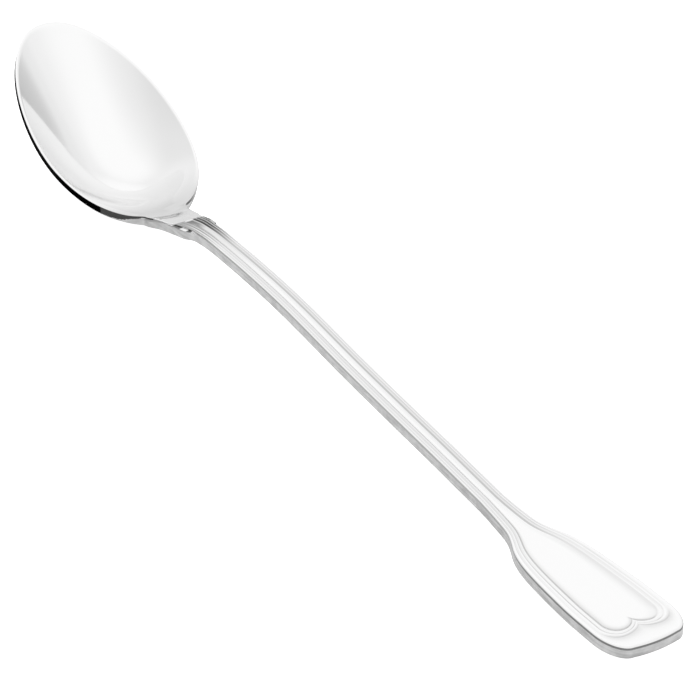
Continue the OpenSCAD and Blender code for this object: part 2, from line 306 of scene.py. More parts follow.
class Blank:
    """The spoon's steel blank: its outlines, sections and lines, in millimetres from the bowl's tip.

    A section is half of one, as points of (across, up) from the middle of the top to that of the back.
    """

    def __init__(self, sizes):
        self.s = s = sizes
        self.mid = s.bowl_length / 2
        self.waist = WAIST_SHARE * s.bowl_length
        self.stem = s.bowl_length + s.neck_length
        self.end = s.length - s.end_length
        self.cap = s.length - s.end_arch - s.corner_reach
        self.arch_half = s.end_width / 2 - s.end_land
        self.pattern = self.on_neck(PATTERN_SHARE)
        self.lug_length = LUG_SHARE * s.neck_length
        self.top_table = (
            [(p * s.bowl_length, s.waist_height + q * s.tip_rise) for p, q in RIM_SHARES]
            + [(self.on_neck(p), mix(s.waist_height, s.arch_height, q)) for p, q in NECK_SHARES]
            + [(mix(self.stem, s.length, p), mix(s.end_height, s.arch_height, q)) for p, q in HANDLE_SHARES]
        )
        self.lug_table, self.plate_table = (
            [(self.on_neck(p), mix(s.stem_width, s.neck_width, q) / 2) for p, q in shares]
            for shares in (LUG_SHARES, PLATE_SHARES)
        )
        self.widen_table = [(mix(self.end, s.length, p), q) for p, q in SHOULDER_SHARES]
        self.shoulder_table = [(x, mix(s.stem_width, s.end_width, q) / 2) for x, q in self.widen_table]
        self.bowl_shade_end = s.bowl_length + BOWL_SHADE_REACH
        # What has been worked out for each place: its height and slope, and its section
        self.known = {}
        self.sections = {}

    def on_neck(self, share):
        """A place on the neck, as a share of the way from the bowl to the stem."""
        return self.s.bowl_length + share * self.s.neck_length

    def top(self, x):
        """Height of the line that runs along the spoon's top."""
        return softened(self.top_table, x, BOWL_SOFTENING if x < self.stem else STEM_SOFTENING)

    def pitch(self, x):
        """Slope of that line, as an angle."""
        return math.atan2(self.top(x + SLOPE_STEP) - self.top(x - SLOPE_STEP), 2 * SLOPE_STEP)

    def egg(self, turn):
        """Half the bowl's width, at an angle that goes from none at the tip to half a turn at the neck."""
        return self.s.bowl_width / 2 * math.sin(turn) * (1 - EGG_SHARE * math.cos(turn))

    def half(self, x):
        """Half the spoon's width."""
        if x > self.end:
            return softened(self.shoulder_table, x, SIDE_SOFTENING)
        if x > self.stem:
            return self.s.stem_width / 2
        bowl = self.egg(math.acos(1 - 2 * clip(x / self.s.bowl_length)))
        first = self.lug_table[0][0]
        if x < first:
            return bowl
        neck = softened(self.lug_table, x, SIDE_SOFTENING)
        neck *= smooth((x - first) / (self.s.bowl_length - first))
        return (bowl**JOIN_POWER + neck**JOIN_POWER) ** (1 / JOIN_POWER)

    def plate_half(self, x):
        """Half the width of the pattern, which is narrower than the spoon between the lugs."""
        if x > self.stem:
            return self.half(x)
        first = self.plate_table[0][0]
        return min(self.half(x), softened(self.plate_table, max(x, first), PLATE_SOFTENING))

    def lug(self, x):
        """How far the lugs swell the neck, from none to fully."""
        reach = self.lug_length / 2
        return between(x, self.pattern, reach, self.pattern + self.lug_length, reach)

    def widen(self, x):
        """How far the stem has widened into the end, from none to fully."""
        return curve(self.widen_table, max(x, self.end))

    def place(self, x, across, up):
        """A point of a section, set on the line along the spoon's top."""
        if x not in self.known:
            self.known[x] = (self.top(x), math.sin(self.pitch(x)), math.cos(self.pitch(x)))
        level, sine, cosine = self.known[x]
        return Vector((x - up * sine, across, level + up * cosine))

    def edge_lines(self, w, rounding, thickness, plate, drop):
        """The rounded edge, from the top face over a lug's shelf, where there is one, to the back face."""
        points = []
        for i in range(1, ROUND_LINES + 1):
            turn = math.pi / 2 * i / ROUND_LINES
            points.append((plate - rounding * (1 - math.sin(turn)), -rounding * (1 - math.cos(turn))))
        for i in range(1, SHELF_LINES + 1):
            share = i / SHELF_LINES
            undercut = SHELF_UNDERCUT * (w - plate) * math.sin(math.pi * share)
            across = mix(plate, w, clip(share * SHELF_SPREAD - SHELF_DELAY)) - undercut
            wall = mix(-rounding, -SHELF_SHARE * drop, smooth(share * 2))
            points.append((across, wall - (1 - SHELF_SHARE) * drop * smooth(share * 2 - 1)))
        for i in range(1, SIDE_LINES):
            points.append((w, mix(-drop, rounding - thickness, i / SIDE_LINES)))
        for i in range(ROUND_LINES + 1):
            turn = math.pi / 2 * i / ROUND_LINES
            across = w - rounding * (1 - math.cos(turn))
            points.append((across, rounding * (1 - math.sin(turn)) - thickness))
        return points

    def sink(self, share, soft=0):
        """The bowl's depth from its middle to its rim, as a share; a soft one rolls over into the neck."""
        return mix(1 - share**2, max(0.0, 1 - share**2) ** SOFT_POWER, soft)

    def bowl_reach(self, x, share):
        """How far a place in the bowl lies from its middle towards its rim, as a share."""
        along = 2 * clip(x / self.s.bowl_length) ** DEEPEST_POWER - 1
        return min(1.0, math.sqrt(along**2 + share**2 * max(0.0, 1 - along**2)))

    def shallow(self, x):
        """What is left of the bowl's depth towards its tip, as a share."""
        return mix(TIP_DEPTH_SHARE, 1, smooth(x / FULL_DEPTH))

    def rim(self, x):
        """The rim's thickness, which grows towards the neck."""
        grown = self.s.neck_thickness - RIM_STEP
        return mix(self.s.rim_thickness, grown, smooth((x - RIM_START) / RIM_LENGTH))

    def bowl_section(self, x):
        """Half a section of the bowl's shell."""
        s = self.s
        w = self.half(x)
        inner = w - s.rim_land
        soft = smooth((x - SOFT_START) / SOFT_LENGTH)
        points = []
        for i in range(LAND_START):
            share = mix(INNERMOST, 1, (i / (LAND_START - 1)) ** INSIDE_CROWDING)
            sunk = self.sink(self.bowl_reach(x, share), soft) * self.shallow(x)
            points.append((share * inner, -s.bowl_depth * sunk))
        rounding = RIM_ROUND_SHARE * s.rim_land
        for i in range(1, LAND_LINES + 1):
            points.append((mix(inner, w - rounding, i / LAND_LINES), 0))
        rim = self.rim(x)
        points += self.edge_lines(w, rounding, rim, w, DROP_SHARE * rim)
        back_depth = s.bowl_depth + s.bowl_wall - rim
        for i in range(1, BACK_LINES + 1):
            share = 1 - BACK_REACH * (i / BACK_LINES) ** BACK_CROWDING
            sunk = self.sink(self.bowl_reach(x, share)) * self.shallow(x)
            points.append((share * (w - rounding), -rim - back_depth * sunk))
        return points

    def handle_section(self, x):
        """Half a section of the handle: panel, wall, two threads, land, edge and back."""
        s = self.s
        w = self.half(x)
        wide = self.widen(x)
        plate = self.plate_half(x)
        risen = smooth((x - self.pattern) / PATTERN_RISE)
        land = mix(s.stem_land, s.end_land, wide)
        thread = mix(s.stem_threads, s.end_threads, wide)
        slope = mix(s.stem_slope, s.end_slope, wide)
        relief = mix(s.stem_relief, s.end_relief, wide)
        flat = mix(1, END_FLATNESS, wide)
        groove = s.groove_depth * flat
        step = s.end_step * wide
        hollow = FLOOR_HOLLOW * (1 - wide)
        steep = mix(STEM_WALL_POWER, END_WALL_POWER, wide)
        rise = smooth((x - s.bowl_length) / s.neck_length)
        crown = mix(s.neck_crown, s.stem_crown, rise)
        if x < self.stem:
            thickness = mix(s.neck_thickness, s.stem_thickness, rise)
            thickness += LUG_SWELL * s.lug_drop * self.lug(x)
            spread = plate / (s.stem_width / 2)
            land *= spread
            thread *= spread
            slope *= spread
        else:
            thickness = mix(s.stem_thickness, s.end_thickness, (x - self.stem) / (s.length - self.stem))
        floor_half = plate - land - thread - slope
        points = []
        for i in range(PANEL_LINES):
            share = mix(INNERMOST, 1, i / (PANEL_LINES - 1))
            points.append((share * floor_half, -risen * relief * (1 - hollow * share**2)))
        for i in range(1, WALL_LINES + 1):
            share = i / WALL_LINES
            up = mix(-relief * (1 - hollow), -groove - step, share**steep)
            points.append((floor_half + slope * share, risen * up))
        for i in range(1, THREAD_LINES + 1):
            share = i / THREAD_LINES
            bead = abs(math.sin(2 * math.pi * share)) ** BEAD_POWER
            up = mix(-groove, s.thread_height * flat, bead) - step * (1 - share)
            points.append((floor_half + slope + thread * share, risen * up))
        foot = plate - land
        foot_width = FOOT_SHARE * land
        rounding = s.edge_round
        for i in range(1, FOOT_LINES + 1):
            share = i / FOOT_LINES
            points.append((foot + foot_width * share, -risen * groove * (1 - smooth(share))))
        for i in range(1, LAND_LINES + 1):
            points.append((mix(foot + foot_width, plate - rounding, i / LAND_LINES), 0))
        drop = s.lug_drop * mix(SHELF_START_SHARE, 1, smooth((x - self.pattern) / self.lug_length))
        points += self.edge_lines(w, rounding, thickness, plate, drop)
        for i in range(1, BACK_LINES + 1):
            share = 1 - BACK_REACH * i / BACK_LINES
            points.append((share * (w - rounding), -thickness - crown * (1 - share**2)))
        return points

    def neck_section(self, x):
        """The bowl's section turning into the handle's, before the pattern starts between the lugs."""
        fade = smooth((x - self.waist) / (self.pattern - self.waist))
        start = self.waist - APRON_LEAD
        end = self.pattern - APRON_GAP
        trough = APRON_DEPTH * between(x, start, APRON_FALL, end, APRON_CLIMB)
        points = []
        for k, (a, b) in enumerate(zip(self.bowl_section(x), self.handle_section(x))):
            deeper = trough * (1 - (k / LAND_START) ** 2) if k < LAND_START else 0
            points.append((mix(a[0], b[0], fade), mix(a[1], b[1], fade) - deeper))
        return points

    def side_stations(self):
        """Places along the spoon from the bowl's middle to the start of the handle's end."""
        places = []
        for i in range(1, WAIST_STEPS):
            places.append(mix(self.mid, self.waist, 1 - (1 - i / WAIST_STEPS) ** WAIST_CROWDING))
        for i in range(NECK_STEPS):
            places.append(mix(self.waist, self.stem, i / NECK_STEPS))
        for i in range(STEM_STEPS):
            places.append(mix(self.stem, self.end, i / STEM_STEPS))
        return places

    def tip_columns(self):
        """The rows of points round the bowl's tip, each from the middle of the top to that of the back."""
        s = self.s
        section = self.bowl_section(self.mid)
        half = self.half(self.mid)
        back_start = len(section) - BACK_LINES
        rounding = RIM_ROUND_SHARE * s.rim_land
        columns = []
        for i in range(TIP_STEPS + 1):
            turn = math.pi / 2 * i / TIP_STEPS
            w = self.egg(turn)
            column = []
            for k, (across, up) in enumerate(section):
                if k < LAND_START:
                    inset = s.rim_land
                elif k < back_start:
                    inset = half - across
                else:
                    inset = rounding
                share = across / (half - inset)
                along = (self.mid - inset) * share * math.cos(turn)
                shallow = self.shallow(self.mid - along) / self.shallow(self.mid)
                if k < LAND_START:
                    up *= shallow
                elif k >= back_start:
                    up = (up + s.rim_thickness) * shallow - s.rim_thickness
                side = max(0.0, w - inset * math.sin(turn)) * share
                column.append(self.place(self.mid - along, side, up))
            columns.append(column)
        return columns

    def plain_cap(self, w, t):
        """The round end of an outline, from its side to the middle: along and across."""
        s = self.s
        share = w / (s.end_width / 2)
        corner = s.end_corner * share
        if t < 0.5:
            turn = math.pi * t
            return s.corner_reach * share * math.sin(turn), w - corner + corner * math.cos(turn)
        y = 2 * (1 - t)
        return s.corner_reach * share + s.end_arch * (1 - y**2), (w - corner) * y

    def double_cap(self, w, dip, t):
        """Half of the double arch: round one lobe to its crown, and back to the cusp in the middle."""
        crown_at = w * CROWN_SHARE
        reach = self.s.lobe_reach * w / self.arch_half
        if t < 0.5:
            turn = math.pi * t
            return reach * math.sin(turn), crown_at + (w - crown_at) * math.cos(turn)
        turn = CUSP_TURN * 2 * (t - 0.5)
        back = dip * (1 - math.cos(turn)) / (1 - math.cos(CUSP_TURN))
        return reach - back, crown_at * (1 - math.sin(turn) / math.sin(CUSP_TURN))

    def end_line(self, k, section, arched):
        """Line k of the handle's end as (place, across, up): along the side and round the cap."""
        s = self.s
        w, up = section[k]
        inset = s.end_width / 2 - w
        if arched:
            reach = s.lobe_reach * w / self.arch_half
            crown_x = s.length - s.arch_margin - (inset - s.end_land)
        else:
            reach = s.corner_reach * w / (s.end_width / 2) + s.end_arch
            crown_x = s.length - inset
        side_end = crown_x - reach
        thread = clip((inset - s.end_land) / s.end_threads)
        wall = clip((inset - s.end_land - s.end_threads) / s.end_slope)
        dip = (s.cusp_depth + CUSP_GROWTH * s.end_threads * thread) * mix(1, CUSP_ON_FLOOR, wall)
        if k < PANEL_LINES:
            dip = mix(INNERMOST_CUSP, dip, k / (PANEL_LINES - 1))
        points = []
        for i in range(SHOULDER_STEPS):
            x = mix(self.end, side_end, i / SHOULDER_STEPS)
            if x not in self.sections:
                self.sections[x] = self.handle_section(x)
            points.append((x, self.sections[x][k][0], self.sections[x][k][1]))
        for i in range(CAP_STEPS + 1):
            t = i / CAP_STEPS
            along, across = self.double_cap(w, dip, t) if arched else self.plain_cap(w, t)
            points.append((side_end + along, across, up))
        return points

    def end_lines(self):
        """All the lines of the handle's end; those of the land pass from the double arch to the outline."""
        section = self.handle_section(self.cap)
        lines = []
        for k in range(len(section)):
            if k < LAND_START:
                line = self.end_line(k, section, True)
            elif k < ROUND_START - 1:
                share = (k - LAND_START + 1) / LAND_LINES
                a = self.end_line(k, section, True)
                b = self.end_line(k, section, False)
                line = [tuple(mix(p[j], q[j], share) for j in range(3)) for p, q in zip(a, b)]
            else:
                line = self.end_line(k, section, False)
            lines.append([self.place(*point) for point in line])
        return lines

    def bowl_painted_shade(self, k, x):
        """How much painted shade darkens the bowl's steel: the rim's edge near the neck and, faintly, its
        inside there.
        """
        if k <= ROUND_START:
            # Faint painted shade on the apron, and a band of it at the roll across the apron
            apron = smooth((x - APRON_START) / APRON_LENGTH)
            return APRON_SHADE * (apron + swell(x, ROLL_PLACE, ROLL_WIDTH))
        if k < SIDE_START + SIDE_LINES:
            # A near-black band of painted shade along the rim's edge towards the neck, in place of a dark
            # reflection
            return RIM_SHADE * smooth((x - DARK_RIM_START) / DARK_RIM_LENGTH)
        return 0.0

    def thread_painted_shade(self, k, x):
        """How much painted shade darkens the steel between and beside the two threads."""
        past = x - self.pattern
        wide = self.widen(x)
        start = between(past, *DARK_PATTERN)
        outer = mix(OUTER_GROOVE_SHADE, ARCH_GROOVE_SHADE, smooth((x - self.cap) / ARCH_ONSET))
        # The three grooves: the line that each lies on, its width in lines and its shade on the stem
        grooves = (
            (THREAD_START, 3.2, INNER_GROOVE_SHADE),
            (THREAD_START + THREAD_LINES / 2, 2.4, MIDDLE_GROOVE_SHADE),
            (FOOT_START + 1, 3, outer),
        )
        shade = THREADS_SHADE * between(past, *DARK_THREADS)
        for line, width, plain in grooves:
            depth = mix(plain * mix(1, END_GROOVE_SHARE, wide), 1, start)
            shade = max(shade, depth * swell(k, line, width))
        return mix(APRON_SHADE, shade, smooth(past / SHADE_ONSET))

    def painted_shade(self, k, x):
        """How much painted shade darkens the steel at line k: most in the grooves where the pattern starts,
        by the lugs.
        """
        if x < self.bowl_shade_end:
            return self.bowl_painted_shade(k, x)
        past = x - self.pattern
        wide = self.widen(x)
        if k < THREAD_START - 1:
            floor = FLOOR_SHADE * smooth((THREAD_START - k) / FLOOR_FADE) * between(past, *DARK_FLOOR)
            apron = APRON_SHADE * (smooth(1 - past) + swell(x, ROLL_PLACE, ROLL_WIDTH))
            hollow = HOLLOW_SHADE * between(past, *DARK_HOLLOW)
            fillet = FILLET_SHADE * wide * smooth((k - WALL_START) / (WALL_LINES - 1))
            return max(floor, apron, hollow, fillet)
        if k < ROUND_START - 1:
            return self.thread_painted_shade(k, x)
        if k < ROUND_START + 2:
            edge = mix(PLAIN_EDGE_SHADE, EDGE_SHADE, between(past, *DARK_PATTERN))
            return edge * smooth(past / SHADE_ONSET + 1)
        if k < SIDE_START - 1:
            if past > self.lug_length:
                return mix(STEM_SHADE, END_SHADE, wide) * smooth((past - self.lug_length) / STEM_ONSET)
            return SHELF_SHADE * max(between(past, *DARK_SHELF), between(past, *DARK_HOOK))
        return 0.0

    def is_satin(self, k, x):
        """Whether the face beside line k is on the trimmed edge, which is satin but for most of the rim."""
        side = SIDE_START - 1
        if k > side + SIDE_LINES:
            return False
        if x >= self.bowl_shade_end:
            return k >= (SHELF_START - 2 if x < self.pattern - 1 else side)
        if x <= SATIN_START or k < SHELF_START:
            return False
        if k < side:
            share = DROP_SHARE * (k - SHELF_START) / SHELF_LINES
        else:
            share = mix(DROP_SHARE, 1, (k - side - 0.5) / SIDE_LINES)
        polished = 1 - smooth((x - FULL_SATIN_START) / FULL_SATIN_LENGTH)
        return share * self.rim(x) > self.s.rim_thickness * polished

    def lines(self):
        """Every line of half the spoon, from the bowl's tip to the handle's end."""
        rows = self.tip_columns()
        for x in self.side_stations():
            section = self.bowl_section(x) if x < self.waist else self.neck_section(x)
            rows.append([self.place(x, across, up) for across, up in section])
        return [[row[k] for row in rows] + end for k, end in enumerate(self.end_lines())]


def closed_mesh(name, lines, painted_shade):
    """One closed skin through the lines and their mirror images, and the line beside each face."""
    count = len(lines)
    length = len(lines[0])
    vertices = []
    painted_shades = []
    index = {}
    for k, line in enumerate(lines):
        for i, point in enumerate(line):
            on_axis = i in (0, length - 1)
            painted_shades += [painted_shade(k, point.x)] * (1 if on_axis else 2)
            index[k, i, 1] = len(vertices)
            vertices.append(Vector((point.x, 0 if on_axis else point.y, point.z)))
            if on_axis:
                index[k, i, -1] = index[k, i, 1]
            else:
                index[k, i, -1] = len(vertices)
                vertices.append(Vector((point.x, -point.y, point.z)))
    faces = []
    bands = []
    for side in (1, -1):
        for k in range(count - 1):
            for i in range(length - 1):
                corners = ((k, i), (k, i + 1), (k + 1, i + 1), (k + 1, i))
                quad = [index[line, step, side] for line, step in corners]
                faces.append(quad if side > 0 else quad[::-1])
                bands.append(k)
    for k, turned in ((0, False), (count - 1, True)):
        for i in range(length - 1):
            corners = [index[k, i, 1], index[k, i + 1, 1], index[k, i + 1, -1], index[k, i, -1]]
            ring = [c for j, c in enumerate(corners) if c not in corners[:j]]
            faces.append(ring if turned else ring[::-1])
            bands.append(k)
    low = min(v.z for v in vertices)
    middle = (min(v.x for v in vertices) + max(v.x for v in vertices)) / 2
    mesh = bpy.data.meshes.new(name)
    mesh.from_pydata([((v.x - middle) * MM, v.y * MM, (v.z - low) * MM) for v in vertices], [], faces)
    # Painted shade at each point, which the polished steel mixes into its colour
    mesh.attributes.new("painted_shade", "FLOAT", "POINT").data.foreach_set("value", painted_shades)
    return mesh, bands


def linear(hex_colour):
    """A colour written as sRGB hex, turned to linear."""
    values = [int(hex_colour[i:i + 2], 16) / 255 for i in (1, 3, 5)]
    return tuple(v / 12.92 if v <= 0.04045 else ((v + 0.055) / 1.055) ** 2.4 for v in values) + (1.0,)


def add_node(tree, kind, settings=None, links=None, **values):
    """Adds a node with its settings, its socket values, and the links that feed it."""
    node = tree.nodes.new(kind)
    for key, value in (settings or {}).items():
        setattr(node, key, value)
    for key, value in values.items():
        node.inputs[key.replace("_", " ")].default_value = value
    for key, source in (links or {}).items():
        tree.links.new(source, node.inputs[key])
    return node


def new_material(name):
    material = bpy.data.materials.new(name)
    material.use_nodes = True
    material.node_tree.nodes.clear()
    return material, material.node_tree


def per_size(*millimetres_each_way):
    """The scale of a pattern whose features have these sizes in millimetres."""
    return tuple(1 / (size * MM) for size in millimetres_each_way)


def steel_surface(tree, bright, dark, shade_and_dulling, rough, lines, strength, depth):
    """The steel: its bright tone, and a darker one mixed in as painted shade on the polish and as duller
    patches on the edge; its roughness, and the fine lines that the finish leaves.
    """
    tone = add_node(tree, "ShaderNodeMix", {"data_type": "RGBA"}, {"Factor": shade_and_dulling})
    tone.inputs["A"].default_value = linear(bright)
    tone.inputs["B"].default_value = linear(dark)
    bump = add_node(tree, "ShaderNodeBump", None, {"Height": lines}, Strength=strength, Distance=depth)
    steel = add_node(
        tree, "ShaderNodeBsdfPrincipled", None,
        {"Base Color": tone.outputs["Result"], "Roughness": rough, "Normal": bump.outputs["Normal"]},
        Metallic=1.0,
    )
    add_node(tree, "ShaderNodeOutputMaterial", None, {"Surface": steel.outputs["BSDF"]})


def mirror_polished_steel(look):
    """Stainless steel buffed to a mirror: bright and neutral, and darker where shade is painted into its
    colour.
    """
    material, tree = new_material("Mirror-polished stainless steel")
    place = add_node(tree, "ShaderNodeTexCoord").outputs["Object"]
    # Buffing leaves lines about 0.05 mm apart; they are drawn 0.42 mm apart, so that they show
    along = add_node(tree, "ShaderNodeMapping", None, {"Vector": place}, Scale=per_size(16.7, 0.42, 1.7))
    lines = add_node(
        tree, "ShaderNodeTexNoise", None, {"Vector": along.outputs["Vector"]}, Scale=1, Detail=3
    )
    # Handling leaves soft patches about 6 mm across
    patches = add_node(tree, "ShaderNodeTexNoise", None, {"Vector": place}, Scale=per_size(6)[0], Detail=2)
    rough = add_node(
        tree, "ShaderNodeMapRange", None, {"Value": patches.outputs["Fac"]},
        To_Min=look.polish_roughness * 0.75, To_Max=look.polish_roughness * 1.3,
    )
    # The painted shade, which mixes the bright steel towards the near-black shade colour
    painted_shade = add_node(tree, "ShaderNodeAttribute", {"attribute_name": "painted_shade"})
    steel_surface(
        tree, look.polish_colour, look.painted_shade_colour, painted_shade.outputs["Fac"], rough.outputs["Result"],
        lines.outputs["Fac"], strength=0.015, depth=0.02 * MM,
    )
    return material


def satin_cut_edge(look):
    """The blank's trimmed edge, finished on a fine belt: the same steel with a satin grain along it, in a
    darker grey that is partly its own and partly painted shade.
    """
    material, tree = new_material("Satin cut edge of stainless steel")
    place = add_node(tree, "ShaderNodeTexCoord").outputs["Object"]
    # Belt grit leaves lines about 0.1 mm apart; they are drawn 0.3 mm apart, so that they show
    grain = add_node(tree, "ShaderNodeMapping", None, {"Vector": place}, Scale=per_size(6.7, 6.7, 0.3))
    lines = add_node(
        tree, "ShaderNodeTexNoise", None, {"Vector": grain.outputs["Vector"]}, Scale=1, Detail=4
    )
    rough = add_node(
        tree, "ShaderNodeMapRange", None, {"Value": lines.outputs["Fac"]},
        To_Min=look.edge_roughness * 0.8, To_Max=look.edge_roughness * 1.25,
    )
    # The belt leaves duller patches about 2 mm long
    patches = add_node(tree, "ShaderNodeTexNoise", None, {"Vector": place}, Scale=per_size(2)[0], Detail=3)
    wear = add_node(
        tree, "ShaderNodeMath", {"operation": "ADD"}, {0: lines.outputs["Fac"], 1: patches.outputs["Fac"]}
    )
    dulled = add_node(
        tree, "ShaderNodeMapRange", None, {"Value": wear.outputs[0]},
        From_Min=0.8, From_Max=1.25, To_Max=0.55,
    )
    steel_surface(
        tree, look.satin_and_shade_colour, look.dull_colour, dulled.outputs["Result"], rough.outputs["Result"],
        lines.outputs["Fac"], strength=0.12, depth=0.03 * MM,
    )
    return material


def in_mm(name, description, default, low, high):
    """A size in millimetres, with its range."""
    return bpy.props.FloatProperty(
        name=name, description=description + ", in mm", default=default, min=low, max=high
    )


class SpoonSizes(bpy.types.PropertyGroup):
    """Sizes of the spoon in millimetres."""

    length: in_mm("Length", "From the bowl's tip to the handle's end", 193, 180, 210)
    tip_rise: in_mm("Tip rise", "Height of the rim at the tip above the rim at the neck", 18.5, 12, 22)
    waist_height: in_mm("Waist height", "Height of the rim at the neck", 3.1, 2, 6)
    arch_height: in_mm("Arch height", "Height of the stem's arch", 7.2, 5, 10)
    end_height: in_mm("End height", "Height of the handle's end", 1.95, 0.8, 4)
    bowl_length: in_mm("Bowl length", "Length of the bowl", 46, 40, 54)
    bowl_width: in_mm("Bowl width", "Width of the bowl", 28.2, 24, 34)
    bowl_depth: in_mm("Bowl depth", "Depth of the bowl under its rim", 7.5, 5, 10)
    bowl_wall: in_mm("Bowl wall", "Thickness at the bottom of the bowl", 1.1, 0.8, 1.8)
    rim_thickness: in_mm("Rim thickness", "Thickness of the rim at its edge", 1.3, 0.8, 1.6)
    rim_land: in_mm("Rim land", "Width of the flat land on the rim", 0.4, 0.2, 1)
    neck_length: in_mm("Neck length", "From the bowl to the stem", 20, 16, 26)
    neck_width: in_mm("Neck width", "Width across the two lugs", 6.6, 5.6, 8)
    neck_thickness: in_mm("Neck thickness", "Thickness of the neck at its edge", 1.9, 1.6, 2.6)
    neck_crown: in_mm("Neck crown", "How far the neck's back stands out", 0.9, 0.3, 1.4)
    lug_drop: in_mm("Lug drop", "Depth of the lugs' upper face under the pattern", 0.4, 0.3, 0.8)
    stem_width: in_mm("Stem width", "Width of the stem", 4.4, 3.8, 6)
    stem_thickness: in_mm("Stem thickness", "Thickness of the stem at its edge", 2, 1.6, 2.6)
    stem_crown: in_mm("Stem crown", "How far the stem's back stands out", 0.25, 0.1, 0.6)
    end_length: in_mm("End length", "Length of the widened end", 43, 36, 50)
    end_width: in_mm("End width", "Width of the end", 14.2, 12, 18)
    end_thickness: in_mm("End thickness", "Thickness of the end at its edge", 1.95, 1.6, 3)
    end_arch: in_mm("End arch", "Rise of the end's shallow arch", 0.4, 0.2, 1)
    end_corner: in_mm("End corner", "How far in the corners start to round", 3.2, 2, 5)
    corner_reach: in_mm("Corner reach", "How far along the corners are rounded", 6, 3, 7)
    stem_land: in_mm("Stem land", "Width of the land outside the threads on the stem", 0.45, 0.3, 0.7)
    end_land: in_mm("End land", "Width of the land outside the threads on the end", 1, 0.6, 1.4)
    stem_threads: in_mm("Stem threads", "Width of the two threads together on the stem", 1.1, 0.7, 1.3)
    end_threads: in_mm("End threads", "Width of the two threads together on the end", 1.5, 1, 2.4)
    stem_slope: in_mm("Stem slope", "Width of the panel's wall on the stem", 0.35, 0.2, 0.5)
    end_slope: in_mm("End slope", "Width of the panel's wall on the end", 1.8, 0.6, 2.2)
    thread_height: in_mm("Thread height", "Height of the thread over the land", 0.12, 0.05, 0.25)
    groove_depth: in_mm("Groove depth", "Depth of the groove beside the thread", 0.1, 0.05, 0.2)
    stem_relief: in_mm("Stem relief", "Depth of the panel on the stem", 0.3, 0.1, 0.5)
    end_relief: in_mm("End relief", "Depth of the panel on the end", 0.45, 0.2, 0.8)
    end_step: in_mm("End step", "How far the inner thread steps down to the panel on the end", 0.15, 0, 0.4)
    arch_margin: in_mm("Arch margin", "Flat metal from the double arch to the end", 3.6, 2.4, 5)
    cusp_depth: in_mm("Cusp depth", "Depth of the cusp between the two arches", 1.3, 0.8, 2)
    lobe_reach: in_mm("Lobe reach", "How far along each arch's shoulder is rounded", 3.4, 2, 4)
    edge_round: in_mm("Edge round", "Rounding of the stamped edges", 0.2, 0.1, 0.3)


class SteelLook(bpy.types.PropertyGroup):
    """Colours and finishes of the steel, and the colour of its painted shade."""

    polish_colour: bpy.props.StringProperty(
        name="Polished colour", description="sRGB hex colour of the polished steel", default="#F5F5F5"
    )
    # The satin edge's grey: partly its own, and partly painted shade in place of the darker surroundings
    # that it reflects
    satin_and_shade_colour: bpy.props.StringProperty(
        name="Edge colour", description="sRGB hex colour of the satin cut edge", default="#CACACA"
    )
    dull_colour: bpy.props.StringProperty(
        name="Dull colour", description="sRGB hex colour of the duller patches on the cut edge",
        default="#8C8C8C",
    )
    # The near black of the painted shade in the grooves, the hollows and under the edges
    painted_shade_colour: bpy.props.StringProperty(
        name="Recess colour", description="sRGB hex colour of the steel in the grooves", default="#202020"
    )
    polish_roughness: bpy.props.FloatProperty(
        name="Polish roughness", description="Roughness of the mirror polish", default=0.09, min=0, max=1
    )
    edge_roughness: bpy.props.FloatProperty(
        name="Edge roughness", description="Roughness of the satin cut edge", default=0.34, min=0, max=1
    )


class StudioSettings(bpy.types.PropertyGroup):
    """The pale floor, the soft light and the camera."""

    floor_colour: bpy.props.StringProperty(
        name="Floor colour", description="sRGB hex colour of the floor", default="#EDEDED"
    )
    surround_low: bpy.props.FloatProperty(
        name="Horizon", description="Share of the surround's strength that is left at the horizon",
        default=0.45, min=0, max=2,
    )
    surround_between: bpy.props.FloatProperty(
        name="Between", description="Share of the surround's strength between the two soft boxes",
        default=0.9, min=0, max=1,
    )
    surround_side: bpy.props.FloatProperty(
        name="Side", description="Share of the surround's strength that is left at the spoon's far side",
        default=0.4, min=0, max=1,
    )
    surround_high: bpy.props.FloatProperty(
        name="Surround", description="Strength of the surround overhead", default=1.06, min=0, max=2
    )
    azimuth: bpy.props.FloatProperty(
        name="Azimuth", description="Turn of the camera round the spoon, from -Y", subtype="ANGLE",
        default=math.radians(58.1),
    )
    elevation: bpy.props.FloatProperty(
        name="Elevation", description="Height of the camera over the floor", subtype="ANGLE",
        default=math.radians(31.7),
    )
    roll: bpy.props.FloatProperty(
        name="Roll", description="Turn of the camera about its line of sight", subtype="ANGLE",
        default=math.radians(0.15),
    )
    distance: bpy.props.FloatProperty(
        name="Distance", description="From the camera to the point it looks at", subtype="DISTANCE",
        unit="LENGTH", default=0.5304,
    )
    lens: bpy.props.FloatProperty(
        name="Lens", description="Focal length for a sensor 36 mm wide", default=162.5, min=20, max=400
    )


class SPOON_OT_add_spoon(bpy.types.Operator):
    """Add the whole spoon as one closed skin of polished steel with satin cut edges"""

    bl_idname = "spoon.add_spoon"
    bl_label = "Add Spoon"

    def execute(self, context):
        look = context.scene.steel_look
        blank = Blank(context.scene.spoon_sizes)
        mesh, bands = closed_mesh("spoon", blank.lines(), blank.painted_shade)
        spoon = bpy.data.objects.new("spoon", mesh)
        context.scene.collection.objects.link(spoon)
        mesh.materials.append(mirror_polished_steel(look))
        mesh.materials.append(satin_cut_edge(look))
        tip = min(vertex.co.x for vertex in mesh.vertices)
        for polygon, band in zip(mesh.polygons, bands):
            polygon.use_smooth = True
            polygon.material_index = 1 if blank.is_satin(band, (polygon.center.x - tip) / MM) else 0
        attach(spoon, "root")
        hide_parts("bowl", "neck", "stem", "handle_end")
        return {"FINISHED"}


